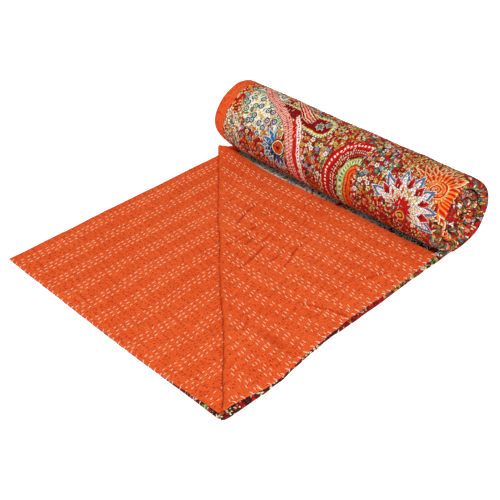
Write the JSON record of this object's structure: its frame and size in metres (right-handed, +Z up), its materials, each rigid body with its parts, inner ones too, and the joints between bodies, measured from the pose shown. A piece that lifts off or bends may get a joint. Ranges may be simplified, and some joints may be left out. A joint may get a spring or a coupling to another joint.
{
  "type": "kantha quilt",
  "caption": "Hand-stitched cotton kantha quilt, folded lengthwise, partly rolled up, with one corner of its free end turned back.",
  "frame": {"origin": "under the middle of the folded quilt, on the surface it lies on", "axes": "+X along the roll from the open long edges to the fold, +Y from the free end to the roll, +Z up"},
  "size_m": [0.792, 0.9014, 0.2043],
  "materials": {
    "quilt": "matte quilted cotton"
  },
  "bodies": {
    "root": {"quilt": "quilt"}
  },
  "joints": []
}
